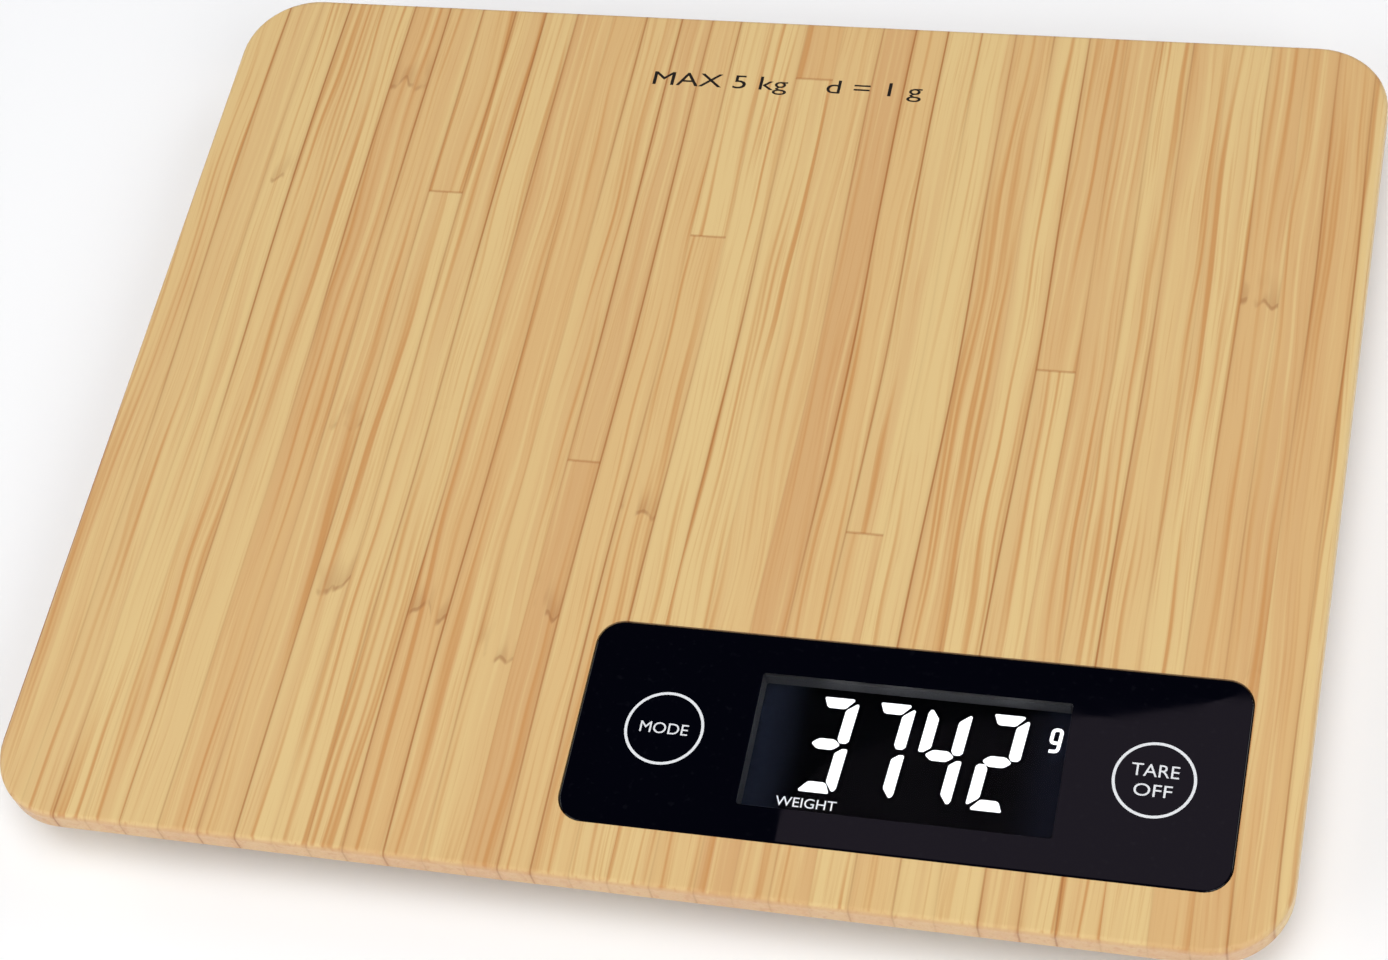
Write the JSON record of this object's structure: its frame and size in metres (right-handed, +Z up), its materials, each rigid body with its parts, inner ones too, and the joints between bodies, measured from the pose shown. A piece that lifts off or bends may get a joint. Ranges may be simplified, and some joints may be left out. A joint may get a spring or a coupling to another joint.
{
  "type": "kitchen scale",
  "caption": "Slim rectangular kitchen scale: bamboo platform with rounded corners, gloss black display panel let in at one corner, low housing on small round weighing feet.",
  "frame": {"origin": "under the middle of the platform, at the height of the surface the scale stands on", "axes": "+X to the right along the long side, +Y from the front edge to the rear edge, +Z up"},
  "size_m": [0.23, 0.187, 0.018],
  "materials": {
    "bamboo": "clear satin lacquer over glued strips",
    "housing_plastic": "fine moulded texture",
    "panel_gloss": "high gloss black",
    "clear_lens": "clear polished",
    "foam_tape": "double-sided tape",
    "carrier_plastic": "moulded black",
    "lcd_film": "dark display face",
    "milky_plastic": "milky diffuser",
    "carrier_rubber": "striped elastomer",
    "fibre_board": "green solder mask",
    "chip_epoxy": "poured epoxy drop",
    "zinc_steel": "zinc plated",
    "conductive_foam": "open conductive foam",
    "label_foil": "matt foil",
    "foot_plastic": "moulded satin",
    "foot_rubber": "soft matte rubber",
    "lead_red": "insulated wire",
    "lead_black": "insulated wire",
    "clamp_plastic": "natural moulded plastic",
    "cell_steel": "stamped spring steel",
    "gauge_sealant": "white sealant",
    "coin_steel": "pressed steel can",
    "nickel_contact": "nickel plated strip"
  },
  "bodies": {
    "scale": {"backlight_guide": "milky_plastic", "bamboo_platform": "bamboo", "battery_contact_negative": "nickel_contact", "battery_contact_positive": "nickel_contact", "battery_lead": "lead_black", "circuit_board": "fibre_board", "circuit_screws": "zinc_steel", "clamp_screws_front_left": "zinc_steel", "clamp_screws_front_right": "zinc_steel", "clamp_screws_rear_left": "zinc_steel", "clamp_screws_rear_right": "zinc_steel", "coin_cell_left": "coin_steel", "coin_cell_right": "coin_steel", "controller_chip": "chip_epoxy", "display_carrier": "carrier_plastic", "display_panel": "panel_gloss", "display_window": "clear_lens", "housing_screw_1": "zinc_steel", "housing_screw_2": "zinc_steel", "housing_screw_3": "zinc_steel", "housing_screw_4": "zinc_steel", "housing_screw_5": "zinc_steel", "housing_screw_6": "zinc_steel", "housing_screw_7": "zinc_steel", "housing_screw_8": "zinc_steel", "lcd_connector": "carrier_rubber", "lcd_glass": "lcd_film", "load_cell_clamp_front_left": "clamp_plastic", "load_cell_clamp_front_right": "clamp_plastic", "load_cell_clamp_rear_left": "clamp_plastic", "load_cell_clamp_rear_right": "clamp_plastic", "load_cell_front_left": "cell_steel", "load_cell_front_right": "cell_steel", "load_cell_lead_front_left": "lead_red", "load_cell_lead_front_right": "lead_red", "load_cell_lead_rear_left": "lead_red", "load_cell_lead_rear_right": "lead_red", "load_cell_rear_left": "cell_steel", "load_cell_rear_right": "cell_steel", "lower_housing": "housing_plastic", "panel_adhesive": "foam_tape", "rating_label": "label_foil", "strain_gauge_front_left": "gauge_sealant", "strain_gauge_front_right": "gauge_sealant", "strain_gauge_rear_left": "gauge_sealant", "strain_gauge_rear_right": "gauge_sealant", "touch_pillar_left": "conductive_foam", "touch_pillar_right": "conductive_foam"},
    "foot_front_left": {"foot_cup_front_left": "foot_plastic", "foot_pad_front_left": "foot_rubber"},
    "foot_front_right": {"foot_cup_front_right": "foot_plastic", "foot_pad_front_right": "foot_rubber"},
    "foot_rear_left": {"foot_cup_rear_left": "foot_plastic", "foot_pad_rear_left": "foot_rubber"},
    "foot_rear_right": {"foot_cup_rear_right": "foot_plastic", "foot_pad_rear_right": "foot_rubber"},
    "battery_cover": {"battery_door": "housing_plastic"}
  },
  "joints": [
    {"name": "foot_press_front_left", "type": "slide", "parent": "scale", "child": "foot_front_left", "axis": [0, 0, 1], "range_m": [0, 0.0005], "stiffness_N_per_m": 25000, "deforming": ["load_cell_front_left"]},
    {"name": "foot_press_front_right", "type": "slide", "parent": "scale", "child": "foot_front_right", "axis": [0, 0, 1], "range_m": [0, 0.0005], "stiffness_N_per_m": 25000, "deforming": ["load_cell_front_right"]},
    {"name": "foot_press_rear_left", "type": "slide", "parent": "scale", "child": "foot_rear_left", "axis": [0, 0, 1], "range_m": [0, 0.0005], "stiffness_N_per_m": 25000, "deforming": ["load_cell_rear_left"]},
    {"name": "foot_press_rear_right", "type": "slide", "parent": "scale", "child": "foot_rear_right", "axis": [0, 0, 1], "range_m": [0, 0.0005], "stiffness_N_per_m": 25000, "deforming": ["load_cell_rear_right"]},
    {"name": "battery_door_slide", "type": "slide", "parent": "scale", "child": "battery_cover", "axis": [0, 1, 0], "range_m": [0, 0.035]}
  ]
}
